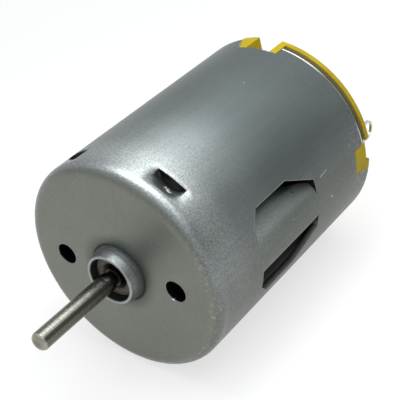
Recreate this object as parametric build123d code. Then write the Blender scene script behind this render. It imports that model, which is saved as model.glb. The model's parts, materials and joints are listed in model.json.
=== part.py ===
from build123d import *
import os
from math import asin, atan2, cos, degrees, hypot, radians, sin, sqrt

# A small round brushed DC motor, in millimetres.
# The shaft line is Y. The front mounting face is at y = 0 and the shaft points to -Y.
# The two screw holes lie on X, the magnets stand above and below, and +Z is up.
# Angles are measured in degrees from +X towards +Z.

# Steel can
CAN_R = 12.1
CAN_WALL = 0.7
CAN_LENGTH = 30.4
CAN_CORNER = 1.3
CAN_INNER_CHAMFER = 0.35
RIM_ROUND = 0.4
BOSS_R = 3.05
BOSS_WALL = 0.55
BOSS_HEIGHT = 1.6
BOSS_ROOT = 0.25
BOSS_THROAT = 0.3
BOSS_TAPER = 0.75
BOSS_TAPER_ROUND = 0.8
LIP_WALL = 0.3
LIP_ROUND = 0.12
LIP_CHAMFER = 0.1
SCREW_SPACING = 14.3
SCREW_HOLE_R = 1.22

# Lanced scoops that stop the magnets at the front
SCOOP_ANGLES = (60, 120, 240, 300)
SCOOP_FRONT = 1.6
SCOOP_LENGTH = 2.1
SCOOP_WIDTH = 3.5
SCOOP_DEPTH = 1.3

# Six-sided side window, whose two halves are folded inwards as flaps that stop the magnets
WINDOW_FRONT = 7.9
WINDOW_LENGTH = 10.9
WINDOW_HALF = 5.05
WINDOW_FRONT_HALF = 3.65
WINDOW_REAR_HALF = 2.95
WINDOW_FRONT_TAPER = 1.3
WINDOW_REAR_TAPER = 4.2
FLAP_FOLD = 5.0
FLAP_BEND = 50.0
FLAP_BEND_R = 1.5
FLAP_KERF = 0.08

# Notches in the rear rim: side ones at 0 and 180 degrees, top and bottom ones at 90 and 270.
# A shelf joins each side notch to the top one, and each notch's far side flares towards the rim.
SIDE_NOTCH = (-5.7, 8.2)
SIDE_NOTCH_DEPTH = 3.3
SIDE_FLARE = 1.0
TOP_NOTCH = (78.0, 101.5)
TOP_NOTCH_DEPTH = 2.8
TOP_FLARE = 1.4
RIM_SHELF_DEPTH = 1.1

# Fits
RUNNING_FIT = 0.015
SEAT_FIT = 0.01
CAP_FIT = 0.03
MAGNET_FIT = 0.03
LUG_FIT = 0.06
END_PLAY = 0.1

# Shaft and bearings
SHAFT_R = 1.0
SHAFT_REACH = 12.0
SHAFT_TIP_ROUND = 0.45
SHAFT_CHAMFER = 0.2
OIL_GROOVE_WIDTH = 0.6
OIL_GROOVE_DEPTH = 0.2
BUSH_LENGTH = 2.7
BUSH_RECESS = 0.9
BUSH_CHAMFER = 0.2
BUSH_MOUTH = 0.5

# End cap
CAP_FLOOR = 2.0
CAP_SKIRT_WALL = 1.45
BRUSH_CHAMBER = 5.8
CAP_BOSS_R = 3.7
CAP_BOSS_HEIGHT = 1.6
CAP_BOSS_END = 0.6
CAP_BOSS_HOLE_R = 1.7
VENT_STEP = 1.5
VENT_WALL = 0.5
VENT_SPAN = 56.0
RIB_SPAN = 16.0
SIDE_LUG_RIB = -3.5
SIDE_LUG_DROP = 0.3
SIDE_LUG_STEP = 1.0
TOP_SLOT = (82.0, 96.5)
TOP_SLOT_DEPTH = 2.8
TOP_SLOT_WEB = 0.4
RIM_TAB_DEPTH = 0.65

# Magnets and their spring. The magnets' thickness is a share of the can's inner radius.
MAGNET_SHARE = 0.24
MAGNET_FRONT_GAP = 0.05
MAGNET_SIDE_GAP = 0.1
MAGNET_REAR_GAP = 0.5
SPRING_STRIP = 0.35
SPRING_BASE = 3.6
SPRING_DEPTH = 2.2
SPRING_SETBACK = 2.5

# Armature. The core's hub, arms and shoes are shares of its radius.
AIR_GAP = 0.5
STACK_SETBACK = 3.4
SHOE_SHARE = 0.14
SHOE_SPAN = 98.0
ARM_SHARE = 0.31
HUB_SHARE = 0.32
INSULATOR_THICK = 0.5
INSULATOR_HUB_STEP = 0.5
INSULATOR_HUB_LENGTH = 2.2
COIL_OVERHANG = 1.6
COIL_GAP = 0.1
COIL_SHARE = 0.44
COIL_CORNER = 1.2
SPACER_R = 1.9
WASHER_R = 1.95
WASHER_THICK = 0.3
FRONT_WASHERS = 2

# Commutator and brush gear
COMMUTATOR_R = 3.0
BAR_THICK = 0.55
BAR_LENGTH = 4.4
BAR_SLIT = 0.4
TANG_REACH = 1.7
TANG_WIDTH = 1.3
TANG_THICK = 0.4
RING_THICK = 0.45
RING_LENGTH = 0.7
BRUSH_GAP = 0.04
BRUSH_LENGTH = 1.7
BRUSH_WIDTH = 1.7
BRUSH_HEIGHT = 2.4
ARM_STRIP = 0.2
ARM_HEIGHT = 2.6
ARM_TAIL = 2.0
ARM_RISE = 2.6
TERMINAL_THICK = 0.3
TERMINAL_WIDTH = 2.3
TERMINAL_REACH = 5.3
TERMINAL_EYE_R = 0.9
TERMINAL_SLOT_FIT = 0.04
TERMINAL_WALL_GAP = 0.25

# Values that follow from the sizes above
can_bore_r = CAN_R - CAN_WALL
boss_bore_r = BOSS_R - BOSS_WALL
bush_r = boss_bore_r - SEAT_FIT
window_rear = WINDOW_FRONT + WINDOW_LENGTH
scoop_rear = SCOOP_FRONT + SCOOP_LENGTH

cap_rear = CAN_LENGTH
cap_floor_front = cap_rear - CAP_FLOOR
cap_front = cap_floor_front - BRUSH_CHAMBER
cap_r = can_bore_r - CAP_FIT
cap_inner_r = cap_r - CAP_SKIRT_WALL
top_slot_r = CAN_R - TOP_SLOT_DEPTH

magnet_front = scoop_rear + MAGNET_FRONT_GAP
magnet_rear = cap_front - MAGNET_REAR_GAP
magnet_r = can_bore_r - MAGNET_FIT
magnet_inner_r = magnet_r - MAGNET_SHARE * can_bore_r

core_r = magnet_inner_r - AIR_GAP
shoe_r = core_r - SHOE_SHARE * core_r
arm_width = ARM_SHARE * core_r
hub_r = HUB_SHARE * core_r
core_front = magnet_front + STACK_SETBACK
core_rear = magnet_rear - STACK_SETBACK
coil_r = shoe_r - COIL_GAP
shaft_hole_r = SHAFT_R + SEAT_FIT

bush_front = BUSH_RECESS - BOSS_HEIGHT
bush_rear = bush_front + BUSH_LENGTH
rear_bush_rear = cap_rear + CAP_BOSS_HEIGHT - CAP_BOSS_END
rear_bush_front = rear_bush_rear - BUSH_LENGTH
hub_rear = rear_bush_front - END_PLAY - WASHER_THICK
shaft_rear = cap_rear + CAP_BOSS_HEIGHT - SHAFT_CHAMFER
front_washers = [bush_rear + END_PLAY + n * WASHER_THICK for n in range(FRONT_WASHERS)]
spacer_front = front_washers[-1] + WASHER_THICK
insulator_front = core_front - INSULATOR_THICK - INSULATOR_HUB_LENGTH
insulator_rear = core_rear + INSULATOR_THICK + INSULATOR_HUB_LENGTH

brush_y = cap_floor_front - BRUSH_CHAMBER / 2
bar_front = brush_y - BAR_LENGTH / 2
bar_rear = brush_y + BAR_LENGTH / 2
bar_inner_r = COMMUTATOR_R - BAR_THICK
arm_x = COMMUTATOR_R + BRUSH_GAP + BRUSH_LENGTH + ARM_STRIP / 2
terminal_x = sqrt(cap_inner_r ** 2 - (TERMINAL_WIDTH / 2) ** 2) - TERMINAL_WALL_GAP - TERMINAL_THICK / 2
terminal_eye_y = cap_rear + TERMINAL_REACH - TERMINAL_WIDTH / 2

# The shaft line, turned about from +X towards +Z
SPIN = Axis((0, 0, 0), (0, -1, 0))
POLES = (30, 150, 270)


def polar(radius, angle):
    return (radius * cos(radians(angle)), radius * sin(radians(angle)))


def turned(*corners):
    """A solid turned about the shaft line from (radius, y) corners."""
    return revolve(make_face(Polyline(*corners, close=True)), axis=Axis.Y)


def sleeve(inner, outer, front, rear):
    return turned((inner, front), (outer, front), (outer, rear), (inner, rear))


def swung(section, start, stop):
    """A section drawn in radius and y, swung round the shaft line between two angles."""
    return revolve(section, axis=SPIN, revolution_arc=stop - start).rotate(SPIN, start)


def sector(inner, outer, front, rear, start, stop):
    """The part of a sleeve between two angles."""
    section = make_face(Polyline((inner, front), (outer, front), (outer, rear), (inner, rear), close=True))
    return swung(section, start, stop)


def along_shaft(section, front, rear):
    """A section drawn in X and Z, run along the shaft from front to rear."""
    plane = Plane(origin=(0, rear, 0), x_dir=(1, 0, 0), z_dir=(0, -1, 0))
    return extrude(plane * section, amount=rear - front)


def twice(solid):
    """A solid with its twin half a turn round the shaft."""
    return solid + solid.rotate(SPIN, 180)


def drawn_cup():
    corners = [
        (boss_bore_r, LIP_CHAMFER - BOSS_HEIGHT, 0),
        (boss_bore_r + LIP_CHAMFER, -BOSS_HEIGHT, 0),
        (boss_bore_r + LIP_WALL, -BOSS_HEIGHT, LIP_ROUND),
        (BOSS_R, BOSS_TAPER - BOSS_HEIGHT, BOSS_TAPER_ROUND),
        (BOSS_R, 0, BOSS_ROOT),
        (CAN_R, 0, CAN_CORNER),
        (CAN_R, CAN_LENGTH, RIM_ROUND),
        (can_bore_r, CAN_LENGTH, 0),
        (can_bore_r, CAN_WALL + CAN_INNER_CHAMFER, 0),
        (can_bore_r - CAN_INNER_CHAMFER, CAN_WALL, 0),
        (boss_bore_r + BOSS_THROAT, CAN_WALL, 0),
        (boss_bore_r, CAN_WALL - BOSS_THROAT, 0),
    ]
    outline = FilletPolyline(*[c[:2] for c in corners], radius=[c[2] for c in corners], close=True)
    return revolve(make_face(outline), axis=Axis.Y)


def pressed_scoop(angle, skin):
    """The hollow of a scoop, or with a skin the pressed sheet's far side.

    It runs from the can's own curve in front to a deep arc at the lanced rear edge.
    """
    half = SCOOP_WIDTH / 2
    shoulder = sqrt(CAN_R ** 2 - half ** 2)
    sag = shoulder - (CAN_R - SCOOP_DEPTH)
    arc_r = (half ** 2 + sag ** 2) / (2 * sag)
    centre = shoulder - sag + arc_r
    reach = sqrt((arc_r + skin) ** 2 - (centre - shoulder) ** 2)
    top = CAN_R + CAN_WALL

    def section(y, side_height, low_height):
        floor = ThreePointArc((-reach, side_height), (0, low_height), (reach, side_height))
        sides = Polyline((reach, side_height), (reach, top), (-reach, top), (-reach, side_height))
        plane = Plane(origin=(0, y, 0), x_dir=(0, 0, 1), z_dir=(0, 1, 0))
        return plane * make_face([floor, sides])

    front_r = CAN_R - skin
    front = section(SCOOP_FRONT, sqrt(front_r ** 2 - reach ** 2), front_r)
    rear = section(scoop_rear, shoulder, CAN_R - SCOOP_DEPTH - skin)
    return loft([front, rear], ruled=True).rotate(SPIN, angle)


def window_opening():
    """Both openings of the window, punched along X, with the spine between the two folds left in."""
    front_taper = WINDOW_FRONT + WINDOW_FRONT_TAPER
    rear_taper = window_rear - WINDOW_REAR_TAPER
    upper = [(WINDOW_FRONT, WINDOW_FRONT_HALF), (front_taper, WINDOW_HALF),
             (rear_taper, WINDOW_HALF), (window_rear, WINDOW_REAR_HALF)]
    lower = [(y, -z) for y, z in reversed(upper)]
    punch = extrude(Plane.YZ * make_face(Polyline(*upper, *lower, close=True)), amount=CAN_R + CAN_WALL)
    spine = sector(0, CAN_R + 2 * CAN_WALL, 0, CAN_LENGTH, -FLAP_FOLD, FLAP_FOLD)
    return punch - spine


def girth(height):
    """Length round the can from the fold line to a point that stands this high above the shaft."""
    return CAN_R * (asin(height / CAN_R) - radians(FLAP_FOLD))


flap_arc = FLAP_BEND_R * radians(FLAP_BEND)
flap_length = girth(WINDOW_HALF) - flap_arc - FLAP_KERF
flap_turn = FLAP_FOLD + FLAP_BEND
flap_bend_centre = polar(CAN_R - FLAP_BEND_R, FLAP_FOLD)
flap_root = tuple(c + d for c, d in zip(flap_bend_centre, polar(FLAP_BEND_R, flap_turn)))
flap_tip = tuple(r + d for r, d in zip(flap_root, polar(flap_length, flap_turn + 90)))
magnet_end = degrees(atan2(flap_tip[1], flap_tip[0]) + MAGNET_SIDE_GAP / hypot(*flap_tip))


def upper_flap():
    """The upper half of the window's blank: a bend at the fold line, then a flat plate inwards."""
    front = WINDOW_FRONT + FLAP_KERF
    rear = window_rear - FLAP_KERF
    inner_r = FLAP_BEND_R - CAN_WALL
    outer_arc = CenterArc(flap_bend_centre, FLAP_BEND_R, FLAP_FOLD, FLAP_BEND)
    inner_arc = CenterArc(flap_bend_centre, inner_r, FLAP_FOLD, FLAP_BEND)
    sides = [Line(outer_arc @ 0, inner_arc @ 0), Line(outer_arc @ 1, inner_arc @ 1)]
    bend = along_shaft(make_face([outer_arc, inner_arc, *sides]), front, rear)

    # The plate lies on the end of the bend. Its corners are its length from the bend and its place along Y.
    front_shoulder = girth(WINDOW_FRONT_HALF) - flap_arc - FLAP_KERF
    rear_shoulder = girth(WINDOW_REAR_HALF) - flap_arc - FLAP_KERF
    corners = [(0, front), (front_shoulder, front), (flap_length, WINDOW_FRONT + WINDOW_FRONT_TAPER),
               (flap_length, window_rear - WINDOW_REAR_TAPER), (rear_shoulder, rear), (0, rear)]
    normal = polar(1, flap_turn)
    inward = polar(1, flap_turn + 90)
    plane = Plane(origin=(flap_root[0], 0, flap_root[1]), x_dir=(inward[0], 0, inward[1]),
                  z_dir=(normal[0], 0, normal[1]))
    outline = Polyline(*[(u, -y) for u, y in corners], close=True)
    return bend + extrude(plane * make_face(outline), amount=-CAN_WALL)


def rim_cut(depth, start, stop):
    """A notch through the can's wall, open at the rear rim."""
    floor = CAN_LENGTH - depth
    return sector(can_bore_r - CAN_WALL, CAN_R + CAN_WALL, floor, CAN_LENGTH + CAN_WALL, start, stop)


def notch_flare(angle, depth, flare, play, inner, outer):
    """The slanted side of a notch, as a wedge along the radius. A minus flare opens to smaller angles."""
    front = CAN_LENGTH - depth + play
    rear = CAN_LENGTH + CAN_WALL
    way = 1 if flare > 0 else -1
    near = -way * play
    root = -way * CAN_WALL
    far = near + flare * (rear - front) / depth
    outline = Polyline((front, root), (front, near), (rear, far), (rear, root), close=True)
    return extrude(Plane.YZ.offset(inner) * make_face(outline), amount=outer - inner).rotate(SPIN, angle)


def rim_shelf():
    """A shallow step in the rear rim, whose outer edge is rounded like the rim's."""
    floor = CAN_LENGTH - RIM_SHELF_DEPTH
    inner = can_bore_r - CAN_WALL
    outer = CAN_R + CAN_WALL
    rear = CAN_LENGTH + CAN_WALL
    edge = CenterArc((CAN_R - RIM_ROUND, floor - RIM_ROUND), RIM_ROUND, 0, 90)
    outside = [(outer, floor - RIM_ROUND), (outer, rear), (inner, rear), (inner, floor)]
    section = make_face([edge, Polyline(edge @ 0, *outside, edge @ 1)])
    return swung(section, SIDE_NOTCH[1], TOP_NOTCH[0])


def can():
    body = drawn_cup()
    for side in (-1, 1):
        hole = Plane.XZ * Pos(side * SCREW_SPACING / 2, 0) * Circle(SCREW_HOLE_R)
        body -= extrude(hole, amount=2 * CAN_WALL, both=True)
    for angle in SCOOP_ANGLES:
        body += pressed_scoop(angle, CAN_WALL) & sleeve(0, CAN_R, 0, CAN_LENGTH)
        body -= pressed_scoop(angle, 0)
    body -= window_opening()
    flap = upper_flap()
    body += flap
    body += mirror(flap, about=Plane.XY)
    body -= twice(rim_cut(SIDE_NOTCH_DEPTH, *SIDE_NOTCH))
    body -= twice(rim_cut(TOP_NOTCH_DEPTH, *TOP_NOTCH))
    inner, outer = can_bore_r - CAN_WALL, CAN_R + CAN_WALL
    body -= twice(notch_flare(SIDE_NOTCH[0], SIDE_NOTCH_DEPTH, -SIDE_FLARE, 0, inner, outer))
    body -= twice(notch_flare(TOP_NOTCH[1], TOP_NOTCH_DEPTH, TOP_FLARE, 0, inner, outer))
    body -= twice(rim_shelf())
    return body


def magnet(middle):
    """One arc magnet, with its flat end faces along the radius."""
    half = 90 - magnet_end
    return sector(magnet_inner_r, magnet_r, magnet_front, magnet_rear, middle - half, middle + half)


def magnet_spring():
    """A strip folded to a wide U: its base is on the can's wall, its legs on the magnets' end faces."""
    strip = SPRING_STRIP / 2
    base_x = -sqrt((can_bore_r - SEAT_FIT) ** 2 - (SPRING_BASE / 2 + SPRING_STRIP) ** 2) + strip
    leg_x = base_x + SPRING_DEPTH
    slope = radians(magnet_end)
    leg_z = -leg_x * sin(slope) / cos(slope) - (strip + MAGNET_SIDE_GAP) / cos(slope)
    corners = [(leg_x, -leg_z), (base_x, -SPRING_BASE / 2), (base_x, SPRING_BASE / 2), (leg_x, leg_z)]
    path = FilletPolyline(*corners, radius=2 * SPRING_STRIP)
    strip_face = trace(path, SPRING_STRIP)
    return along_shaft(strip_face, magnet_front + SPRING_SETBACK, magnet_rear - SPRING_SETBACK)


def bush(front):
    rear = front + BUSH_LENGTH
    bore = SHAFT_R + RUNNING_FIT
    return turned((bore + BUSH_MOUTH, front), (bush_r - BUSH_CHAMFER, front),
                  (bush_r, front + BUSH_CHAMFER), (bush_r, rear - BUSH_CHAMFER),
                  (bush_r - BUSH_CHAMFER, rear), (bore + BUSH_MOUTH, rear),
                  (bore, rear - BUSH_MOUTH), (bore, front + BUSH_MOUTH))


def cap_lug(depth, start, stop):
    """A lug that fills a notch of the can's rim, flush with the can outside."""
    play = degrees(LUG_FIT / CAN_R)
    front = cap_rear - depth + LUG_FIT
    return sector(cap_inner_r + LUG_FIT, CAN_R, front, cap_rear, start + play, stop - play)


def lug_flare(angle, depth, flare):
    """The part of a lug that fills the notch's slanted side."""
    wedge = notch_flare(angle, depth, flare, LUG_FIT, cap_inner_r, CAN_R + CAN_WALL)
    return wedge & sleeve(cap_inner_r + LUG_FIT, CAN_R, cap_rear - depth, cap_rear)


def end_cap():
    floor = sleeve(0, cap_r, cap_floor_front, cap_rear)
    skirt = sleeve(cap_inner_r, cap_r, cap_front, cap_rear)
    boss = sleeve(0, CAP_BOSS_R, cap_floor_front, cap_rear + CAP_BOSS_HEIGHT)
    body = floor + skirt + boss
    body += twice(cap_lug(SIDE_NOTCH_DEPTH, *SIDE_NOTCH))
    body += twice(cap_lug(TOP_NOTCH_DEPTH, *TOP_NOTCH))
    body += twice(lug_flare(SIDE_NOTCH[0], SIDE_NOTCH_DEPTH, -SIDE_FLARE))
    body += twice(lug_flare(TOP_NOTCH[1], TOP_NOTCH_DEPTH, TOP_FLARE))
    body += twice(cap_lug(RIM_TAB_DEPTH, SIDE_NOTCH[1], TOP_SLOT[0]))

    # The side lugs' steps
    outside = CAN_R + CAN_WALL
    behind = cap_rear + CAN_WALL
    lug_floor = cap_r - LUG_FIT
    rib_start = SIDE_NOTCH[0] - 2 * degrees(SIDE_FLARE / CAN_R)
    body -= twice(sector(lug_floor, outside, cap_rear - SIDE_LUG_DROP, behind, rib_start, SIDE_NOTCH[1]))
    body -= twice(sector(lug_floor, outside, cap_rear - SIDE_LUG_STEP, behind, SIDE_LUG_RIB, SIDE_NOTCH[1]))

    # Each open slot goes inwards in steps, so that the skirt and a web of the floor keep the inside shut
    steps = [(lug_floor, cap_front), (cap_inner_r + TOP_SLOT_WEB, cap_floor_front),
             (top_slot_r, cap_floor_front + TOP_SLOT_WEB)]
    for inner, front in steps:
        body -= twice(sector(inner, outside, front, behind, *TOP_SLOT))

    # The vents, the bush's seat, the shaft hole and the terminals' slots
    for middle in (90, 270):
        vent = sector(CAP_BOSS_R + VENT_STEP, top_slot_r - VENT_WALL, cap_floor_front, cap_rear,
                      middle - VENT_SPAN / 2, middle + VENT_SPAN / 2)
        body -= vent - sector(0, CAN_R, cap_floor_front, cap_rear, middle - RIB_SPAN / 2,
                              middle + RIB_SPAN / 2)
    body -= sleeve(0, bush_r + SEAT_FIT, cap_floor_front, rear_bush_rear)
    body -= sleeve(0, CAP_BOSS_HOLE_R, rear_bush_rear, cap_rear + CAP_BOSS_HEIGHT)
    slot = Rectangle(TERMINAL_THICK + 2 * TERMINAL_SLOT_FIT, TERMINAL_WIDTH + 2 * TERMINAL_SLOT_FIT)
    body -= twice(along_shaft(Pos(terminal_x, 0) * slot, cap_floor_front, cap_rear))
    return body


def terminal():
    """A flat tag through the cap's floor, with a round eyelet outside for the wire."""
    half = TERMINAL_WIDTH / 2
    front = brush_y - ARM_HEIGHT / 2
    length = terminal_eye_y - front
    tag = Pos(front + length / 2, 0) * Rectangle(length, TERMINAL_WIDTH)
    tag += Pos(terminal_eye_y, 0) * Circle(half)
    tag -= Pos(terminal_eye_y, 0) * Circle(TERMINAL_EYE_R)
    plane = Plane(origin=(terminal_x, 0, 0), x_dir=(0, 1, 0), z_dir=(1, 0, 0))
    return extrude(plane * tag, amount=TERMINAL_THICK / 2, both=True)


def brush_arm():
    """A leaf that is fixed to the terminal, bends over in a U and lies along the brush's back."""
    foot_x = terminal_x - (TERMINAL_THICK + ARM_STRIP) / 2
    foot = Line((foot_x, -TERMINAL_WIDTH / 2), (foot_x, ARM_RISE))
    bend = CenterArc(((foot_x + arm_x) / 2, ARM_RISE), (foot_x - arm_x) / 2, 0, 180)
    leaf = Line((arm_x, ARM_RISE), (arm_x, -ARM_TAIL))
    strip = trace(foot + bend + leaf, ARM_STRIP)
    return along_shaft(strip, brush_y - ARM_HEIGHT / 2, brush_y + ARM_HEIGHT / 2)


def carbon_brush():
    """A block whose front is hollowed to the commutator."""
    back = arm_x - ARM_STRIP / 2
    block = Pos(back / 2, 0) * Rectangle(back, BRUSH_WIDTH) - Circle(COMMUTATOR_R + BRUSH_GAP)
    return along_shaft(block, brush_y - BRUSH_HEIGHT / 2, brush_y + BRUSH_HEIGHT / 2)


def shaft():
    """A ground pin with a rounded tip and an oil groove just inside the can's boss."""
    round_end = -SHAFT_REACH + SHAFT_TIP_ROUND
    tip = CenterArc((SHAFT_R - SHAFT_TIP_ROUND, round_end), SHAFT_TIP_ROUND, -90, 90)
    groove_r = SHAFT_R - OIL_GROOVE_DEPTH
    groove_rear = OIL_GROOVE_WIDTH - BOSS_HEIGHT
    rest = Polyline(tip @ 1, (SHAFT_R, -BOSS_HEIGHT), (groove_r, -BOSS_HEIGHT), (groove_r, groove_rear),
                    (SHAFT_R, groove_rear), (SHAFT_R, shaft_rear - SHAFT_CHAMFER),
                    (SHAFT_R - SHAFT_CHAMFER, shaft_rear), (0, shaft_rear), (0, -SHAFT_REACH), tip @ 0)
    return revolve(make_face([tip, rest]), axis=Axis.Y)


def spider(arm_length):
    """The hub and three arms of the core, as a section."""
    arms = [Rot(0, 0, angle) * Pos(arm_length / 2, 0) * Rectangle(arm_length, arm_width) for angle in POLES]
    return Circle(hub_r) + arms - Circle(shaft_hole_r)


def armature_core():
    half = SHOE_SPAN / 2
    section = spider((shoe_r + core_r) / 2)
    for angle in POLES:
        outer = CenterArc((0, 0), core_r, angle - half, SHOE_SPAN)
        inner = CenterArc((0, 0), shoe_r, angle - half, SHOE_SPAN)
        section += make_face([outer, inner, Line(outer @ 0, inner @ 0), Line(outer @ 1, inner @ 1)])
    return along_shaft(section, core_front, core_rear)


def core_insulator(face, end):
    """A three-armed plate on one end of the stack, with a tube along the shaft."""
    plate_end = face + INSULATOR_THICK if end > face else face - INSULATOR_THICK
    plate = along_shaft(spider(coil_r), min(face, plate_end), max(face, plate_end))
    tube_r = hub_r - INSULATOR_HUB_STEP
    return plate + sleeve(shaft_hole_r, tube_r, min(plate_end, end), max(plate_end, end))


def coil(angle):
    """The wound bundle round one arm of the core, cut to the slot that it fills."""
    front = core_front - INSULATOR_THICK - COIL_OVERHANG
    rear = core_rear + INSULATOR_THICK + COIL_OVERHANG
    middle = (front + rear) / 2
    opening = core_rear - core_front + 2 * (INSULATOR_THICK + COIL_GAP)
    inner = hub_r + COIL_GAP
    loop = RectangleRounded(2 * COIL_SHARE * core_r, rear - front, COIL_CORNER)
    loop -= Rectangle(arm_width + 2 * COIL_GAP, opening)
    plane = Plane(origin=(inner, middle, 0), x_dir=(0, 0, 1), z_dir=(1, 0, 0))
    bundle = extrude(plane * loop, amount=coil_r - inner)
    slot = sector(inner, coil_r, front, rear, -60, 60)
    neighbour_gap = COIL_GAP / sin(radians(60))
    return (bundle & Pos(neighbour_gap, 0, 0) * slot & sleeve(0, coil_r, front, rear)).rotate(SPIN, angle)


def commutator_hub():
    return sleeve(shaft_hole_r, bar_inner_r - SEAT_FIT, insulator_rear, hub_rear)


def commutator_bar(angle):
    """One copper segment with the tang that its coil's end is hooked under."""
    half = 60 - degrees(BAR_SLIT / 2 / COMMUTATOR_R)
    bar = sector(bar_inner_r, COMMUTATOR_R, bar_front, bar_rear, -half, half)
    reach = TANG_REACH + BAR_THICK
    tang = Pos(bar_inner_r + reach / 2, 0) * Rectangle(reach, TANG_WIDTH)
    bar += along_shaft(tang, bar_front, bar_front + TANG_THICK)
    bar -= sleeve(0, bar_inner_r, bar_front, bar_rear)
    return bar.rotate(SPIN, angle)


def commutator_ring():
    front = bar_rear - RING_LENGTH
    return sleeve(COMMUTATOR_R + SEAT_FIT, COMMUTATOR_R + RING_THICK, front, bar_rear)


def washer(front):
    return sleeve(shaft_hole_r, WASHER_R, front, front + WASHER_THICK)


nodes = {
    "can": can(),
    "magnet_upper": magnet(90),
    "magnet_lower": magnet(270),
    "magnet_spring": magnet_spring(),
    "front_bearing": bush(bush_front),
    "rear_bearing": bush(rear_bush_front),
    "end_cap": end_cap(),
    "shaft": shaft(),
    "armature_core": armature_core(),
    "core_insulator_front": core_insulator(core_front, insulator_front),
    "core_insulator_rear": core_insulator(core_rear, insulator_rear),
    "front_spacer": sleeve(shaft_hole_r, SPACER_R, spacer_front, insulator_front),
    "thrust_washers_front": Compound([washer(front) for front in front_washers]),
    "thrust_washer_rear": washer(hub_rear),
    "commutator_hub": commutator_hub(),
    "commutator_ring": commutator_ring(),
}
for name, make in (("terminal", terminal), ("brush_arm", brush_arm), ("carbon_brush", carbon_brush)):
    nodes[name + "_right"] = make()
    nodes[name + "_left"] = make().rotate(SPIN, 180)
for number, pole in enumerate(POLES, start=1):
    nodes[f"coil_{number}"] = coil(pole)
    nodes[f"commutator_bar_{number}"] = commutator_bar(pole)

os.makedirs("parts", exist_ok=True)
for name, solid in nodes.items():
    export_step(solid, f"parts/{name}.step")
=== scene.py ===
import json
import math
from functools import cached_property
from types import SimpleNamespace

import bpy
import numpy as np
from mathutils import Matrix, Vector


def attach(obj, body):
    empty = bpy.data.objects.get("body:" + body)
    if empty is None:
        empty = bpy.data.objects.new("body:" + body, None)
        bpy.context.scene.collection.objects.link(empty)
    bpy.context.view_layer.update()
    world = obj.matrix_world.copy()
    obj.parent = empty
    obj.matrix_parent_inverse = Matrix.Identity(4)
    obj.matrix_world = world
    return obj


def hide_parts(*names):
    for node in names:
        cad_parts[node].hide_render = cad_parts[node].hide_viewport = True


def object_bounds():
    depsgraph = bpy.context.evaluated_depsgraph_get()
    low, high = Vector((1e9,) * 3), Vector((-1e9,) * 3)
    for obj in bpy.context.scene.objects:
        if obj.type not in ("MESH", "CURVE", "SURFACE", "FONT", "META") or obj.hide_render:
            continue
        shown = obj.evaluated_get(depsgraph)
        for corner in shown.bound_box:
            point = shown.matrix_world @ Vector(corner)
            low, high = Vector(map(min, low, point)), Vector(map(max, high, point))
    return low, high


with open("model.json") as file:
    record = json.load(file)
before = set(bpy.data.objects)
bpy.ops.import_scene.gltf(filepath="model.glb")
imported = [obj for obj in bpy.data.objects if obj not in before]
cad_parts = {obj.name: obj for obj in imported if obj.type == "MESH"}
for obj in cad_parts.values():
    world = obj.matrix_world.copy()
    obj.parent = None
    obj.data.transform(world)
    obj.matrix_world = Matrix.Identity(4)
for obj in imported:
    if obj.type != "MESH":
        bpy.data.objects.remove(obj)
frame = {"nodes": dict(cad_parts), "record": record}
cad_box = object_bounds()
nodes = frame["nodes"]
scene = bpy.context.scene

# The stage is in metres. The can, the shaft, the coils and every finish are in millimetres.
MM = 0.001

# The camera, as the photograph was taken: round the shaft line's start, with a small roll
CAMERA_AZIMUTH = 40.889
CAMERA_ELEVATION = 32.675
CAMERA_ROLL = -9.319
CAMERA_DISTANCE = 99.382 * MM
CAMERA_SLIDE = (8.093 * MM, 7.218 * MM)
CAMERA_LENS = 89.225
CAMERA_SENSOR = 36.0
CAMERA_CLIP = 5 * MM

# The floor, a round sheet of white paper
FLOOR_RADIUS = 3.0
FLOOR_SIDES = 64
FLOOR_WHITE = 0.65
PAPER = (0.88, 0.88, 0.87)

# Area lights. A tilt is about X, in degrees. A level is how bright a light looks, where 1 is white paper.
COOL_WHITE = (0.97, 0.99, 1.0)
WHITE = (1.0, 1.0, 1.0)
LAMPS = {
    "overhead": dict(size=(0.03, 0.036), place=(0.001, 0.013, 0.045), tilt=0.0, level=6.8, tint=COOL_WHITE),
    "fill": dict(size=(0.026, 0.036), place=(0.029, 0.013, 0.045), tilt=0.0, level=2.4, tint=COOL_WHITE),
    "rear": dict(size=(0.16, 0.07), place=(0.02, 0.22, 0.035), tilt=-90.0, level=3.0, tint=WHITE),
}

# The room: its colours, the heights between which it pales, and the way in which it is dimmer
SKY_HORIZON = (0.74, 0.75, 0.75)
SKY_ZENITH = (1.06, 1.1, 1.1)
SKY_RISE = (0.25, 0.75)
SKY_DIM = (0.37, 0.38, 0.37)
SKY_DIM_WAY = (0.76, 0.64, 0.1)
SKY_DIM_EDGE = (0.72, 0.96)

# The can and the shaft, for the places where their finish differs
CAN_R = 12.1
CAN_WALL = 0.7
CAN_BORE_R = CAN_R - CAN_WALL
CAN_LENGTH = 30.4
LOWERED_RIM = 29.3
BOSS_R = 3.05
BOSS_HEIGHT = 1.6
BOSS_BORE_R = 2.5
SCREW_X = 7.15
SCREW_HOLE_R = 1.22
WINDOW_FRONT = 7.9
WINDOW_REAR = 18.8
SCOOP_FRONT = 1.6
SCOOP_REAR = 3.7
SCOOP_HALF = 1.75
SCOOP_GIRTH = CAN_R * math.radians(60)
SCOOP_DISH = 1.1
SCOOP_DISH_DEPTH = 0.26
SHAFT_R = 1.0
SHAFT_TIP = -12.0

# Scratches, each from one point to another, and its width. A point is how far round the can and along it.
# The two painted glints are given alike: the scoop glint's points are round from the middle of its scoop, and
# the hole glint's are X and Z on the front.
SCRATCHES = [((2.58, 20.0), (2.75, 21.3), 0.09), ((-0.6, 21.5), (-0.95, 21.75), 0.12)]
SCOOP_GLINT = ((0.1, 2.98), (-0.55, 2.7), 0.42)
HOLE_GLINT = ((6.54, -1.15), (6.72, -1.2), 0.1)

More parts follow.
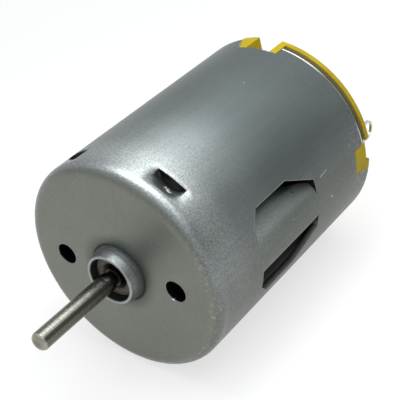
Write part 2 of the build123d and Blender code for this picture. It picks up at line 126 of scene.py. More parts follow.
# A mask of sharp edges, by the cosine between the rounded and the true normal where it is 0 and where it is 1
EDGE_LEAN = (0.98, 0.75)
EDGE_SAMPLES = 6

# Zones of the can's plate. Each pair is where a mask is 0 and where it is 1, on one of plate_measures().
THROUGH_WALL = (CAN_BORE_R - 0.2, CAN_BORE_R)
PLATE_ZONES = {
    # The front, the rounded corner behind it, and the side
    "front": {"y": [(0.6, 0.1)], "radius": [(BOSS_R + 0.15, BOSS_R + 0.75)]},
    "corner": {"y": [(2.4, 0.9)], "radius": [(CAN_R - 1.4, CAN_R - 0.6)]},
    # By its height the side takes a painted reflection tint, bluish above and greenish below.
    "high": {"z": [(-2.0, 6.0)]},
    "low": {"z": [(9.0, 3.0)]},
    # Near the front, and most on top, the side takes a frosted colour that is partly a painted sheen.
    "frost_near": {"y": [(7.0, 3.5)]},
    "frost_far": {"y": [(16.0, 5.0)]},
    "rear": {"y": [(23.0, 30.0)]},

    # The boss: all of it, its foot, its open end, the ring round its root, and the halo round that; the ring
    # and halo are painted darker as shade
    "boss": {"y": [(-0.2, -0.3)], "radius": [(BOSS_R + 0.15, BOSS_R + 0.05)]},
    "boss_foot": {"y": [(0.6 - BOSS_HEIGHT, 0.9 - BOSS_HEIGHT)]},
    "boss_lip": {
        "y": [(0.2 - BOSS_HEIGHT, 0.05 - BOSS_HEIGHT)],
        "radius": [(BOSS_BORE_R, BOSS_BORE_R + 0.1)],
    },
    "boss_root": {
        "y": [(-0.34, -0.26)],
        "radius": [(BOSS_R - 0.05, BOSS_R), (BOSS_R + 0.45, BOSS_R + 0.25)],
    },
    "boss_dirt": {
        "y": [(-0.7, -0.4)],
        "radius": [(BOSS_R + 1.85, BOSS_R + 0.25), (BOSS_R + 0.05, BOSS_R + 0.15)],
    },

    # Cut through the wall: the scoops and the window, the screw holes, the boss's inside, mostly painted near
    # black as shade
    "sheared": {"lying": [(0.6, 0.35)], "y": [(1.4, 1.6), (27.0, 26.0)], "radius": [THROUGH_WALL]},
    "low_window": {"y": [(6.0, 7.0)], "z": [(-1.0, -2.0)]},
    "hole": {"y": [(0.1, 0.25)], "off_hole": [(SCREW_HOLE_R + 0.05, SCREW_HOLE_R + 0.01)]},
    "hole_edge": {"y": [(0.3, 0.15)]},
    "bore": {"radius": [(BOSS_BORE_R + 0.08, BOSS_BORE_R + 0.02)]},

    # The window: the lower edge, how far out in the wall it is, and the bend of the upper flap. The lower
    # edge's cut face is painted dark inward as shade, and the bend is painted lighter
    "sill": {
        "lying": [(0.8, 0.6)],
        "x": [(8.0, 9.0)],
        "y": [(WINDOW_FRONT - 0.9, WINDOW_FRONT - 0.4), (WINDOW_REAR + 0.7, WINDOW_REAR + 0.2)],
        "z": [(-2.0, -2.6)],
        "radius": [THROUGH_WALL],
    },
    "outer_wall": {"radius": [(CAN_BORE_R, CAN_R)]},
    "bend": {
        "x": [(10.0, 10.6)],
        "y": [(WINDOW_FRONT - 0.1, WINDOW_FRONT + 0.1), (WINDOW_REAR + 0.2, WINDOW_REAR)],
        "z": [(0.4, 1.2), (4.2, 3.2)],
    },

    # The rear rim: where it is lowered, the two ends of that, and the edge of the rest, which carry a painted
    # highlight
    "lowered": {"quarter": [(12.0, 22.0)], "y": [(LOWERED_RIM - 0.55, LOWERED_RIM - 0.35)]},
    "lowered_top": {"height": [(9.0, 10.8)]},
    "lowered_side": {"height": [(4.8, 3.0)]},
    "full_rim": {"lying": [(0.97, 0.8)], "y": [(CAN_LENGTH - 0.5, CAN_LENGTH - 0.3)]},

    # The scoops: the length that is dished, the tongue, and the end of the dish; the tongue and the dish's
    # ends are painted darker as shade
    "dished": {"y": [(SCOOP_FRONT - 0.4, SCOOP_FRONT + 1.0), (SCOOP_REAR + 0.5, SCOOP_REAR - 0.5)]},
    "tongue": {
        "beside_scoop": [(0.1, 0.0)],
        "y": [(SCOOP_FRONT, SCOOP_FRONT + 0.3), (SCOOP_REAR + 0.2, SCOOP_REAR + 0.05)],
        "radius": [(CAN_R - 0.05, CAN_R - 0.25)],
    },
    "scoop_end": {"off_scoop": [(1.0, 1.8)]},
}

# Colours of the can
# The side's low and high colours are a painted reflection: greenish below as from the floor, bluish and
# lighter above as from the sky.
PLATE_LOW_FLOOR_TINT = (0.108, 0.116, 0.098)
PLATE_HIGH_SKY_TINT = (0.122, 0.14, 0.142)
# Frosted zinc near the front, lightened as a painted sheen that fades towards the rear and is strongest on
# top.
PLATE_FROST_SHEEN = (0.225, 0.24, 0.24)
PLATE_FRONT = (0.181, 0.193, 0.169)
BOSS_END = (0.17, 0.184, 0.185)
BOSS_FOOT = (0.42, 0.45, 0.45)
RUBBED_STEEL = (0.62, 0.63, 0.61)
# A pale colour painted on as highlights and glints
GLINT_STEEL = (0.7, 0.71, 0.7)
# The window sill's cut face: grey where it is outward, painted dark inward as shade
SILL_INNER_SHADE = (0.03, 0.03, 0.028)
SILL_OUTER = (0.2, 0.205, 0.19)
# Near black painted into the cuts as shade
CUT_SHADE = (0.03, 0.029, 0.027)

# Colours of the shaft and its bushes
SHAFT_GROOVE = (0.112, 0.109, 0.095)
SHAFT_RIDGE = (0.146, 0.142, 0.126)
SHAFT_EDGE = (0.24, 0.23, 0.19)
SHAFT_END_SHADE = (0.16, 0.156, 0.126)
SHAFT_END_HIGHLIGHT = (0.34, 0.33, 0.275)
SHAFT_INNER_DARK = (0.04, 0.036, 0.028)
BUSH_GRAIN = (0.15, 0.143, 0.115)
BUSH_PORE = (0.08, 0.075, 0.06)
BUSH_BORE_DARK = (0.008, 0.007, 0.006)

# The armature: the core's sheets, the wire's varnish and the commutator's bars
SHEET_OXIDE = (0.2, 0.21, 0.24)
SHEET_STEEL = (0.33, 0.33, 0.34)
SHEET_JOINT = (0.05, 0.05, 0.055)
SHEET_THICKNESS = 0.5
VARNISH_THICK = (0.34, 0.1, 0.03)
VARNISH_THIN = (0.52, 0.18, 0.06)
VARNISH_STREAK = (0.12, 0.035, 0.014)
BAR_COPPER = (0.62, 0.29, 0.15)
BAR_FILM = (0.25, 0.12, 0.075)

# Moulded plastics: the painted shade in the gap at the can's rim, then each one's light and deep colour and
# least roughness
JOINT_SHADE = (0.105, 0.107, 0.085)
MOULDINGS = {
    "yellow_nylon": ((0.3, 0.225, 0.002), (0.27, 0.185, 0.002), 0.5),
    "white_nylon": ((0.72, 0.7, 0.64), (0.62, 0.6, 0.53), 0.4),
    "green_resin": ((0.05, 0.16, 0.09), (0.03, 0.11, 0.06), 0.45),
    "dark_resin": ((0.05, 0.045, 0.04), (0.03, 0.027, 0.024), 0.42),
}

# Rolled strips: the clean and the tarnished colour, and the least roughness
STRIPS = {
    "tinned_brass": ((0.62, 0.615, 0.59), (0.45, 0.44, 0.4), 0.2),
    "spring_bronze": ((0.52, 0.3, 0.12), (0.36, 0.2, 0.09), 0.24),
    "spring_steel": ((0.3, 0.3, 0.31), (0.2, 0.19, 0.18), 0.3),
}

# Pressed powders: the grains' and the pores' colour, metal, the least roughness, the grains in a millimetre
POWDERS = {
    "ferrite": ((0.02, 0.02, 0.022), (0.009, 0.009, 0.01), 0.0, 0.6, 5.0),
    "carbon": ((0.03, 0.03, 0.031), (0.012, 0.012, 0.012), 0.2, 0.5, 6.0),
}

# The wound coils, each round its arm of the core at an angle. They are fuller past the ends of the core.
COILS = {"coil_1": 30, "coil_2": 150, "coil_3": 270}
COIL_MIDDLE = 12.925
COIL_POINTS = 48
COIL_SQUARENESS = 0.25
ARM_HALF = (1.31, 6.35)
COIL_HALF = (3.4, 9.25)
COIL_BOTTOM = 2.9
COIL_TOP = 6.66
COIL_SPREAD = 1.3
COIL_END_HALF = 4.6
COIL_END_TOP = 7.6
COIL_END_START = 5.9
COIL_END_RISE = 1.2

# The turns of wire on a coil's three open sides, and how far each stands out
COIL_SIDES = (((0, 0), (1, 0), 8), ((1, 0), (1, 1), 12), ((1, 1), (0, 1), 8))
POINTS_PER_TURN = 3
WIRE = 0.28
WIRE_RIDGE = 0.47 * WIRE
TINY = 1e-9


class Value:
    """A shader socket that takes part in plain arithmetic. Each operation adds one Math node."""

    def __init__(self, tree, socket):
        self.tree = tree
        self.socket = socket

    def maths(self, operation, first, second=0.0):
        return self.tree.node("Math", {"operation": operation}, {0: first, 1: second})

    def __add__(self, other):
        return self.maths("ADD", self, other)

    __radd__ = __add__

    def __mul__(self, other):
        return self.maths("MULTIPLY", self, other)

    __rmul__ = __mul__

    def __sub__(self, other):
        return self.maths("SUBTRACT", self, other)

    def __rsub__(self, other):
        return self.maths("SUBTRACT", other, self)

    def __truediv__(self, other):
        return self.maths("DIVIDE", self, other)

    def __pow__(self, other):
        return self.maths("POWER", self, other)

    def __abs__(self):
        return self.maths("ABSOLUTE", self)

    def __or__(self, other):
        return self.maths("MAXIMUM", self, other)


class ShaderTree:
    """The nodes of a material or of the world."""

    def __init__(self, owner):
        owner.use_nodes = True
        self.tree = owner.node_tree

    def node(self, kind, settings=None, inputs=None, output=0):
        """A new node, with its settings and with values or links in its sockets. Gives one of its outputs."""
        made = self.tree.nodes.new("ShaderNode" + kind)
        for name, setting in (settings or {}).items():
            setattr(made, name, setting)
        for name, value in (inputs or {}).items():
            self.feed(made.inputs[name], value)
        return Value(self, made.outputs[output])

    def feed(self, socket, value):
        if isinstance(value, Value):
            self.tree.links.new(value.socket, socket)
        else:
            socket.default_value = value

    def mix(self, factor, first, second):
        """A colour between two colours."""
        first, second = (c if isinstance(c, Value) else (*c, 1.0) for c in (first, second))
        return self.node("Mix", {"data_type": "RGBA"}, {0: factor, 6: first, 7: second}, output=2)

    def ramp(self, value, low, high, start=0.0, stop=1.0):
        """A smooth change from start to stop while the value goes from low to high."""
        limits = {"From Min": low, "From Max": high, "To Min": start, "To Max": stop}
        return self.node("MapRange", {"interpolation_type": "SMOOTHSTEP"}, {"Value": value, **limits})

    def angle(self, up, side):
        """The angle of a direction in radians."""
        return self.node("Math", {"operation": "ARCTAN2"}, {0: up, 1: side})

    def dot(self, first, second):
        return self.node("VectorMath", {"operation": "DOT_PRODUCT"}, {0: first, 1: second}, output="Value")

    def scaled(self, colour, factor):
        return self.node("VectorMath", {"operation": "SCALE"}, {0: colour, "Scale": factor})

    def seen(self):
        """1 where the floor is looked at, straight or by way of metal, and 0 where it only lights things."""
        rays = [self.node("LightPath", output=name)
                for name in ("Is Camera Ray", "Is Glossy Ray", "Is Transmission Ray")]
        return rays[0] | rays[1] | rays[2]


class Finish(ShaderTree):
    """A material with one Principled shader, whose grain is placed in millimetres in the part's frame."""

    def __init__(self, name, **constants):
        self.material = bpy.data.materials.new(name)
        super().__init__(self.material)
        self.shader = self.tree.nodes["Principled BSDF"]
        self.places = {}
        self.set(**constants)

    def set(self, **values):
        for name, value in values.items():
            self.feed(self.shader.inputs[name.replace("_", " ").title().replace("Ior", "IOR")], value)

    def place(self, stretch=(1.0, 1.0, 1.0)):
        """The point on the surface in millimetres, with each axis stretched."""
        if stretch not in self.places:
            point = self.node("TexCoord", output="Object")
            factors = tuple(s / MM for s in stretch)
            self.places[stretch] = self.node("VectorMath", {"operation": "MULTIPLY"}, {0: point, 1: factors})
        return self.places[stretch]

    @cached_property
    def axes(self):
        """X, Y and Z in millimetres."""
        return [self.node("SeparateXYZ", None, {0: self.place()}, output=n) for n in range(3)]

    @cached_property
    def radius(self):
        """How far from the shaft line, in millimetres."""
        x, _, z = self.axes
        return (x * x + z * z) ** 0.5

    def lying(self):
        """1 where the surface faces away from the shaft line or towards it, 0 where it is square to that."""
        outward = self.node("VectorMath", {"operation": "NORMALIZE"}, {0: self.place((1.0, 0.0, 1.0))})
        return abs(self.dot(outward, self.node("NewGeometry", output="Normal")))

    def scratch(self, across, along, start, stop, width, core=0.4):
        """1 in the core of a scratch from start to stop, both given across and along, and 0 beside it."""
        step = (stop[0] - start[0], stop[1] - start[1])
        reach = (across - start[0]) * step[0] + (along - start[1]) * step[1]
        share = self.node("Clamp", None, {"Value": reach / (step[0] ** 2 + step[1] ** 2)})
        aside = across - start[0] - share * step[0]
        beyond = along - start[1] - share * step[1]
        return self.ramp((aside * aside + beyond * beyond) ** 0.5, width, core * width)

    def noise(self, scale, detail=2.0, stretch=(1.0, 1.0, 1.0), roughness=0.5):
        """A cloudy value from 0 to 1, with so many lumps in a millimetre."""
        inputs = {"Vector": self.place(stretch), "Scale": scale, "Detail": detail, "Roughness": roughness}
        return self.node("TexNoise", None, inputs)

    def cells(self, scale, output="Distance"):
        """The distance to the nearest of scattered points, so many in a millimetre, or that one's colour."""
        return self.node("TexVoronoi", None, {"Vector": self.place(), "Scale": scale}, output=output)

    def specks(self, scale, size, share, core=0.5):
        """1 in the core of round specks, whose size is in millimetres, at a share of the scattered points."""
        chance = self.node("SeparateColor", None, {0: self.cells(scale, output="Color")})
        chosen = self.ramp(chance, 1 - share, 1 - 0.9 * share)
        return chosen * self.ramp(self.cells(scale), size * scale, core * size * scale)

    def edges(self, radius):
        """The normal rounded over sharp edges, and a mask that is 1 on those edges."""
        rounded = self.node("Bevel", {"samples": EDGE_SAMPLES}, {"Radius": radius * MM})
        flat = self.node("NewGeometry", output="Normal")
        return rounded, self.ramp(self.dot(rounded, flat), *EDGE_LEAN)

    def bump(self, height, depth, normal=None):
        """Raises the surface by so many millimetres where the height is 1."""
        inputs = {"Height": height, "Distance": depth * MM, "Strength": 1.0}
        if normal:
            inputs["Normal"] = normal
        self.set(Normal=self.node("Bump", None, inputs))


def plate_measures(finish):
    """What the zones of the plate are measured on: millimetres, but for quarter and lying."""
    x, y, z = finish.axes
    aside = abs(x) - SCREW_X
    off_scoop = finish.angle(abs(z), abs(x)) * CAN_R - SCOOP_GIRTH
    return {
        "x": x,
        "y": y,
        "z": z,
        "height": abs(z),
        "quarter": x * z,
        "radius": finish.radius,
        "lying": finish.lying(),
        "off_hole": (aside * aside + z * z) ** 0.5,
        "off_scoop": off_scoop,
        "beside_scoop": (abs(off_scoop) - SCOOP_HALF) | 0.0,
    }


def plate_zones(finish, measures):
    """A mask for each of PLATE_ZONES."""
    zones = {}
    for name, limits in PLATE_ZONES.items():
        ramps = [finish.ramp(measures[m], *pair) for m, pairs in limits.items() for pair in pairs]
        zones[name] = math.prod(ramps[1:], start=ramps[0])
    return SimpleNamespace(**zones)


def strongest(*masks):
    """The highest of some masks, each given with its strength."""
    highest = 0.0
    for mask, strength in masks:
        highest = mask * strength | highest
    return highest


def plate_skin(finish, zone, frost_and_sheen):
    """The plate's colour, with a painted reflection tint and a painted sheen on its side."""
    side = finish.mix(zone.high, PLATE_LOW_FLOOR_TINT, PLATE_HIGH_SKY_TINT)
    side = finish.mix(frost_and_sheen, side, PLATE_FROST_SHEEN)
    side = finish.mix(zone.boss, side, finish.mix(zone.boss_foot, BOSS_END, BOSS_FOOT))
    return finish.mix(zone.front, side, PLATE_FRONT)


def plate_shade(finish, zone, frost_and_sheen, grain, dish):
    """How much lighter or darker the plate is, by its grain, lines from drawing, clouds and dirt specks, and
    by painted shade and light: darker round the boss's root and in the scoops, lighter on the window flap's
    bend.
    """
    sparkle = finish.ramp(grain, 0.36, 0.64)
    lines = finish.noise(1.6, stretch=(1.0, 0.06, 1.0))
    clouds = finish.noise(0.22, detail=3.0)
    shade = 1 + (sparkle - 0.5) * (0.14 + 0.36 * frost_and_sheen) + (lines - 0.5) * 0.16 + (clouds - 0.5) * 0.2
    dirt = finish.specks(0.55, size=0.16, share=0.16)
    # Painted shade round the boss's root and in the scoops' tongues and dished ends; the bend's negative loss
    # is painted light.
    darker = [(dirt, 0.45), (zone.boss_dirt, 0.4), (zone.boss_root, 0.35), (zone.bend, -0.35),
              (zone.tongue, 0.45), (dish * zone.scoop_end, 0.45)]
    for mask, loss in darker:
        shade = shade * (1 - loss * mask)
    return shade


def plate_rubs(finish, zone, worn_and_lit_edge):
    """How far the plate is rubbed through, by specks, worn edges, scuffs, the boss's lip and scratches. The
    edges are lightened partly as wear and partly as a painted edge highlight.
    """
    x, y, z = finish.axes
    specks = finish.specks(0.33, size=0.14, share=0.14)
    scuffs = zone.low * (zone.corner | zone.rear)
    scuffs = scuffs * finish.ramp(finish.noise(2.2, detail=4.0, roughness=0.7), 0.53, 0.68)
    girth = finish.angle(z, x) * CAN_R
    scratches = [(finish.scratch(girth, y, *points), 0.35) for points in SCRATCHES]
    return strongest((specks, 0.4), (worn_and_lit_edge, 0.5), (scuffs, 0.25), (zone.boss_lip, 0.3), *scratches)


def zinc_plate():
    """Matt zinc plate on drawn steel: dull on the front, frosted behind the corner with a painted sheen,
    painted near black as shade in most cuts, with painted highlights on the rim and in two glints.
    """
    finish = Finish("zinc_plate")
    measures = plate_measures(finish)
    zone = plate_zones(finish, measures)
    x, y, z = finish.axes
    grain = finish.noise(6.0, detail=3.0, roughness=0.65)
    # The frost, lighter as a painted sheen near the front and most on top.
    frost_and_sheen = (0.5 * zone.frost_near + 0.5 * zone.frost_far) * (1 - zone.front) * (0.4 + 0.6 * zone.high)
    rounded, edge = finish.edges(0.12)

    # The scoops: the sheet is dished at the ends of each, and its tongue is painted darker as shade but for a
    # painted glint
    dish = ((1 - measures["beside_scoop"] / SCOOP_DISH) | 0.0) ** 2 * zone.dished
    glint_patches = finish.ramp(finish.noise(2.6), 0.36, 0.58)
    tongue_glint = zone.tongue * glint_patches * finish.scratch(measures["off_scoop"], y, *SCOOP_GLINT)

    # The plate, and where it is rubbed through
    plated = finish.scaled(plate_skin(finish, zone, frost_and_sheen), plate_shade(finish, zone, frost_and_sheen, grain, dish))
    lowered_ends = strongest((zone.lowered_top, 1.0), (zone.lowered_side, 0.6))
    # The edges are left dull along the middle of the lowered rim, so that its painted highlight fades there.
    rubs = plate_rubs(finish, zone, edge * (1 - 0.85 * zone.lowered * (1 - lowered_ends)))
    plated = finish.mix(rubs, plated, RUBBED_STEEL)

    # Painted highlights, pale and less metallic: the rim and two small glints. The window's sill is grey
    # outward and painted dark inward as shade
    rim = strongest((zone.lowered * lowered_ends, 1.0), (zone.full_rim, 0.5))
    hole_glint = finish.scratch(x, z, *HOLE_GLINT) * zone.hole_edge
    glints = strongest((rim, 1.0), (tongue_glint, 0.8), (hole_glint, 1.0))
    plated = finish.mix(glints, plated, GLINT_STEEL)
    plated = finish.mix(zone.sill, plated, finish.mix(zone.outer_wall, SILL_INNER_SHADE, SILL_OUTER))
    finish.set(metallic=1 - 0.75 * (glints | zone.sill))

    # Painted shade: near black in the other cuts
    cut_shade = strongest((zone.sheared * (1 - zone.low_window), 1.0), (zone.hole, 1.0), (zone.bore, 0.6))
    finish.set(base_color=finish.mix(cut_shade * (1 - 0.6 * edge) * (1 - hole_glint), plated, CUT_SHADE))

    roughness = finish.ramp(grain, 0.25, 0.8, 0.46, 0.36)
    rougher = [(zone.corner, -0.1), (rubs, -0.06), (zone.boss, -0.08), (frost_and_sheen, 0.07), (zone.bend, 0.25),
               (zone.boss_root, 0.4)]
    for mask, gain in rougher:
        roughness = roughness + gain * mask
    finish.set(roughness=roughness)
    finish.bump(0.006 * grain - SCOOP_DISH_DEPTH * dish, 1.0, rounded)
    return finish.material


def ground_steel():
    """Centreless ground and polished pin: fine rings, faint rubs along it, darker where it enters the boss,
    and its end painted with a highlight round its rim and shade in its middle.
    """
    finish = Finish("ground_steel", metallic=1.0)
    y = finish.axes[1]
    rings = finish.noise(60.0, detail=1.0, stretch=(0.005, 1.0, 0.005))
    rubs = finish.noise(2.5, detail=3.0, stretch=(1.0, 0.1, 1.0))
    rounded, edge = finish.edges(0.1)
    inner_dark = finish.ramp(y, -0.15 - BOSS_HEIGHT, 0.5 - BOSS_HEIGHT) * finish.ramp(y, 3.0, 2.0)
    tip = finish.ramp(y, SHAFT_TIP + 0.45, SHAFT_TIP + 0.25)
    # The end is painted with a highlight round its rim and shade in its middle, to read as a dome.
    end = finish.mix(finish.ramp(finish.radius, 0.2 * SHAFT_R, SHAFT_R), SHAFT_END_SHADE, SHAFT_END_HIGHLIGHT)
    colour = finish.mix(rings, SHAFT_GROOVE, SHAFT_RIDGE)
    colour = finish.mix(edge * 0.5, colour, SHAFT_EDGE)
    colour = finish.mix(tip, colour, end)
    finish.set(base_color=finish.mix(inner_dark, colour, SHAFT_INNER_DARK))
    finish.set(roughness=0.05 + 0.06 * rubs + 0.1 * inner_dark)
    finish.bump(rings, 0.009, rounded)
    return finish.material


def brighter(colour, times):
    return tuple(min(1.0, times * c) for c in colour)


def moulding(name, light, deep, gloss):
    """Moulded plastic: a satin skin with faint clouds and a fine grain, and painted shade in the gap where it
    meets the rim.
    """
    finish = Finish(name, specular_ior_level=0.1)
    y = finish.axes[1]
    forward = finish.dot(finish.node("TexCoord", output="Normal"), (0.0, -1.0, 0.0))
    joint = finish.ramp(forward, 0.5, 0.9) * finish.ramp(y, LOWERED_RIM - 0.2, LOWERED_RIM)
    joint = joint * finish.ramp(finish.radius, CAN_R, CAN_R - 0.2)
    clouds = finish.noise(0.35, detail=3.0)
    skin = finish.noise(9.0)
    rounded, edge = finish.edges(0.12)
    colour = finish.mix(finish.ramp(clouds, 0.3, 0.7), deep, light)
    colour = finish.mix(edge * 0.3, colour, brighter(light, 1.25))
    finish.set(base_color=finish.mix(0.75 * joint, colour, JOINT_SHADE))
    finish.set(roughness=gloss + 0.14 * skin)
    finish.bump(skin, 0.004, rounded)
    return finish.material


def rolled_strip(name, clean, tarnish, gloss):
    """Rolled sheet metal: lines along the strip, clouds of tarnish, bright sheared edges."""
    finish = Finish(name, metallic=1.0)
    lines = finish.noise(5.0, stretch=(1.0, 0.08, 1.0))
    clouds = finish.noise(0.8, detail=3.0)
    rounded, edge = finish.edges(0.06)
    colour = finish.mix(finish.ramp(clouds, 0.35, 0.75), clean, tarnish)
    finish.set(base_color=finish.mix(edge * 0.4, colour, brighter(clean, 1.2)))
    finish.set(roughness=gloss + 0.16 * lines)
    finish.bump(lines, 0.003, rounded)
    return finish.material


def pressed_powder(name, grain, pore, metal, gloss, scale):
    """Pressed and sintered powder: grains with dark pores between them."""
    finish = Finish(name, metallic=metal)
    grains = finish.cells(scale)
    patches = finish.noise(1.2, detail=3.0)
    colour = finish.mix(finish.ramp(grains, 0.35, 0.75), grain, pore)
    finish.set(base_color=finish.mix(0.35 * patches, colour, pore))
    finish.set(roughness=gloss + 0.2 * patches)
    finish.bump(1 - grains, 0.02)
    return finish.material


def oiled_bush():
    """Sintered bronze, dull from use and near black round the shaft."""
    finish = Finish("oiled_bush", metallic=0.6)
    grains = finish.cells(7.0)
    patches = finish.noise(1.2, detail=3.0)
    bore_dark = finish.ramp(finish.radius, 1.8 * SHAFT_R, 1.2 * SHAFT_R)
    colour = finish.mix(finish.ramp(grains, 0.35, 0.75), BUSH_GRAIN, BUSH_PORE)
    finish.set(base_color=finish.mix(bore_dark, colour, BUSH_BORE_DARK))
    finish.set(roughness=0.5 + 0.2 * patches - 0.15 * bore_dark)
    finish.bump(1 - grains, 0.01)
    return finish.material


def stacked_sheet():
    """The stack of thin steel sheets: one line at each joint, and a bluish oxide."""
    finish = Finish("stacked_sheet", metallic=0.9)
    from_joint = finish.node("Math", {"operation": "PINGPONG"}, {0: finish.axes[1], 1: SHEET_THICKNESS / 2})
    joint = finish.ramp(from_joint, 0.06, 0.0)
    oxide = finish.noise(1.5, detail=3.0)
    colour = finish.mix(oxide, SHEET_OXIDE, SHEET_STEEL)
    finish.set(base_color=finish.mix(joint, colour, SHEET_JOINT))
    finish.set(roughness=0.35 + 0.2 * oxide)
    finish.bump(1 - joint, 0.03)
    return finish.material


def enamelled_wire():
    """Varnished copper wire."""
    finish = Finish("enamelled_wire", metallic=1.0, coat_weight=0.6, coat_roughness=0.15)
    varnish = finish.noise(1.5, detail=3.0)
    streaks = finish.noise(6.0)
    colour = finish.mix(varnish, VARNISH_THICK, VARNISH_THIN)
    finish.set(base_color=finish.mix(0.35 * streaks, colour, VARNISH_STREAK))
    finish.set(roughness=0.25 + 0.15 * varnish)
    finish.bump(streaks, 0.01)
    return finish.material


def turned_copper():
    """Commutator copper: turning rings under clouds of dark film."""
    finish = Finish("turned_copper", metallic=1.0)
    rings = finish.noise(10.0, stretch=(0.05, 1.0, 0.05))
    film = finish.noise(0.9, detail=3.0)
    finish.set(base_color=finish.mix(finish.ramp(film, 0.4, 0.7), BAR_COPPER, BAR_FILM))
    finish.set(roughness=0.2 + 0.2 * rings)
    finish.bump(rings, 0.004)
    return finish.material


finishes = {
    "zinc_steel": zinc_plate(),
    "ground_steel": ground_steel(),
    "sintered_bronze": oiled_bush(),
    "lamination_steel": stacked_sheet(),
    "enamelled_copper": enamelled_wire(),
    "commutator_copper": turned_copper(),
}
for make, rows in ((moulding, MOULDINGS), (rolled_strip, STRIPS), (pressed_powder, POWDERS)):
    for name, row in rows.items():
        finishes[name] = make(name, *row)
for part in frame["record"]["subparts"]:
    nodes[part["node"]].data.materials.clear()
    nodes[part["node"]].data.materials.append(finishes[part["material_slot"]])


def coil_section():
    """Points round a coil's section, as shares out from the arm and up from the shaft, and their ridges."""
    places, ridges = [], []
    for start, stop, turns in COIL_SIDES:
        points = POINTS_PER_TURN * turns
        for n in range(points):
            places.append([a + n / points * (b - a) for a, b in zip(start, stop)])
            ridges.append(0.0 if n % POINTS_PER_TURN == 0 else WIRE_RIDGE)
    return np.array(places + [[0, 1]]), np.array(ridges + [0.0])


def coil_bundle(places):
    """A coil's plain bundle: each point's place up the arm, along the shaft and across."""
    outward, upward = places[:, 0], places[:, 1]
    turn = np.arange(COIL_POINTS)[:, None] * 2 * np.pi / COIL_POINTS
    wide, long = [np.sign(f) * np.abs(f) ** COIL_SQUARENESS for f in (np.cos(turn), np.sin(turn))]
    end = np.clip((COIL_HALF[1] * np.abs(long) - COIL_END_START) / COIL_END_RISE, 0, 1)
    half = COIL_HALF[0] + (COIL_END_HALF - COIL_HALF[0]) * end
    across = wide * (ARM_HALF[0] + outward * (half - ARM_HALF[0]))
    along = long * (ARM_HALF[1] + outward * (COIL_HALF[1] - ARM_HALF[1]))
    top = COIL_TOP + (COIL_END_TOP - COIL_TOP) * end * outward
    rise = COIL_BOTTOM + upward * (np.sqrt(top ** 2 - across ** 2) - COIL_BOTTOM)
    across = np.clip(across, -COIL_SPREAD * rise, COIL_SPREAD * rise)
    return np.stack([rise, along, across], axis=2)


def wound_coil(node, pole):
    """Wire wound round one arm of the core, where each turn stands out from the bundle."""
    places, ridges = coil_section()
    bundle = coil_bundle(places)
    round_arm = np.roll(bundle, -1, axis=0) - np.roll(bundle, 1, axis=0)
    normal = np.cross(np.gradient(bundle, axis=1), round_arm)
    normal /= np.linalg.norm(normal, axis=2, keepdims=True) + TINY
    rise, along, across = np.moveaxis(bundle + ridges[:, None] * normal, 2, 0)
    c, s = math.cos(math.radians(pole)), math.sin(math.radians(pole))
    points = np.stack([rise * c - across * s, COIL_MIDDLE + along, rise * s + across * c], axis=2) * MM
    count = len(places)
    faces = [(n * count + k, n * count + (k + 1) % count, m * count + (k + 1) % count, m * count + k)
             for n, m in ((n, (n + 1) % COIL_POINTS) for n in range(COIL_POINTS)) for k in range(count)]
    mesh = bpy.data.meshes.new(node + "_wire")
    mesh.from_pydata(points.reshape(-1, 3).tolist(), [], faces)
    mesh.shade_smooth()
    mesh.materials.append(finishes["enamelled_copper"])
    made = bpy.data.objects.new(node + "_wire", mesh)
    scene.collection.objects.link(made)
    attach(made, "rotor")
    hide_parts(node)


for node, pole in COILS.items():
    wound_coil(node, pole)


def white_paper():
    """White where it is looked at, and plain pale paper where it only bounces light. The shadow stays."""
    material = bpy.data.materials.new("white_paper")
    paper = ShaderTree(material)
    matt = paper.node("BsdfDiffuse", None, {"Color": (*PAPER, 1.0)})
    glow = paper.node("Emission", None, {"Color": (*WHITE, 1.0), "Strength": 1.0})
    both = paper.node("MixShader", None, {0: paper.seen() * FLOOR_WHITE, 1: matt, 2: glow})
    paper.feed(paper.tree.nodes["Material Output"].inputs["Surface"], both)
    return material


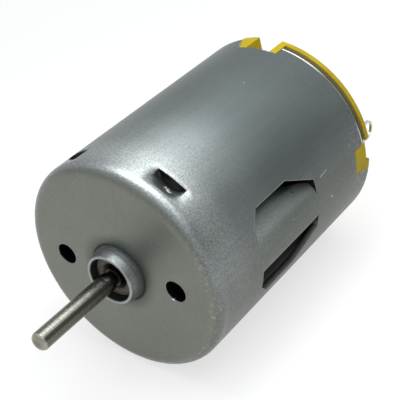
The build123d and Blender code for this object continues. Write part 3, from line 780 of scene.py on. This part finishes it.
def floor():
    mesh = bpy.data.meshes.new("floor")
    turns = [2 * math.pi * n / FLOOR_SIDES for n in range(FLOOR_SIDES)]
    lowest = cad_box[0].z
    rim = [(FLOOR_RADIUS * math.cos(t), FLOOR_RADIUS * math.sin(t), lowest) for t in turns]
    mesh.from_pydata(rim, [], [range(FLOOR_SIDES)])
    made = bpy.data.objects.new("floor", mesh)
    scene.collection.objects.link(made)
    mesh.materials.append(white_paper())


def softbox(name, size, place, tilt, level, tint):
    """An area light that faces down where it isn't tilted, and that the camera doesn't see."""
    lamp = bpy.data.lights.new(name, "AREA")
    lamp.shape = "RECTANGLE"
    lamp.size, lamp.size_y = size
    lamp.energy = level * math.pi * size[0] * size[1]
    lamp.color = tint
    made = bpy.data.objects.new(name, lamp)
    scene.collection.objects.link(made)
    made.location = place
    made.rotation_euler = (math.radians(tilt), 0.0, 0.0)
    made.visible_camera = False


def sky():
    """A soft room: pale overhead and round most of the horizon, dimmer beyond the motor's right rear."""
    world = bpy.data.worlds.new("room")
    scene.world = world
    room = ShaderTree(world)
    way = room.node("TexCoord", output="Generated")
    up = room.node("SeparateXYZ", None, {0: way}, output=2)
    pale = room.mix(room.ramp(up, *SKY_RISE), SKY_HORIZON, SKY_ZENITH)
    colour = room.mix(room.ramp(room.dot(way, SKY_DIM_WAY), *SKY_DIM_EDGE), pale, SKY_DIM)
    room.feed(room.tree.nodes["Background"].inputs["Color"], colour)


def camera():
    turn, rise, roll = (math.radians(a) for a in (CAMERA_AZIMUTH, CAMERA_ELEVATION, CAMERA_ROLL))
    back = Vector((math.sin(turn) * math.cos(rise), -math.cos(turn) * math.cos(rise), math.sin(rise)))
    level = Vector((math.cos(turn), math.sin(turn), 0.0))
    upright = back.cross(level)
    right = math.cos(roll) * level + math.sin(roll) * upright
    up = math.cos(roll) * upright - math.sin(roll) * level
    data = bpy.data.cameras.new("camera")
    data.lens = CAMERA_LENS
    data.sensor_width = CAMERA_SENSOR
    data.clip_start = CAMERA_CLIP
    made = bpy.data.objects.new("camera", data)
    scene.collection.objects.link(made)
    stand = CAMERA_DISTANCE * back + CAMERA_SLIDE[0] * right + CAMERA_SLIDE[1] * up
    made.matrix_world = Matrix.Translation(stand) @ Matrix((right, up, back)).transposed().to_4x4()
    scene.camera = made


floor()
for name, lamp in LAMPS.items():
    softbox(name, **lamp)
sky()
camera()
scene.view_settings.view_transform = "Standard"
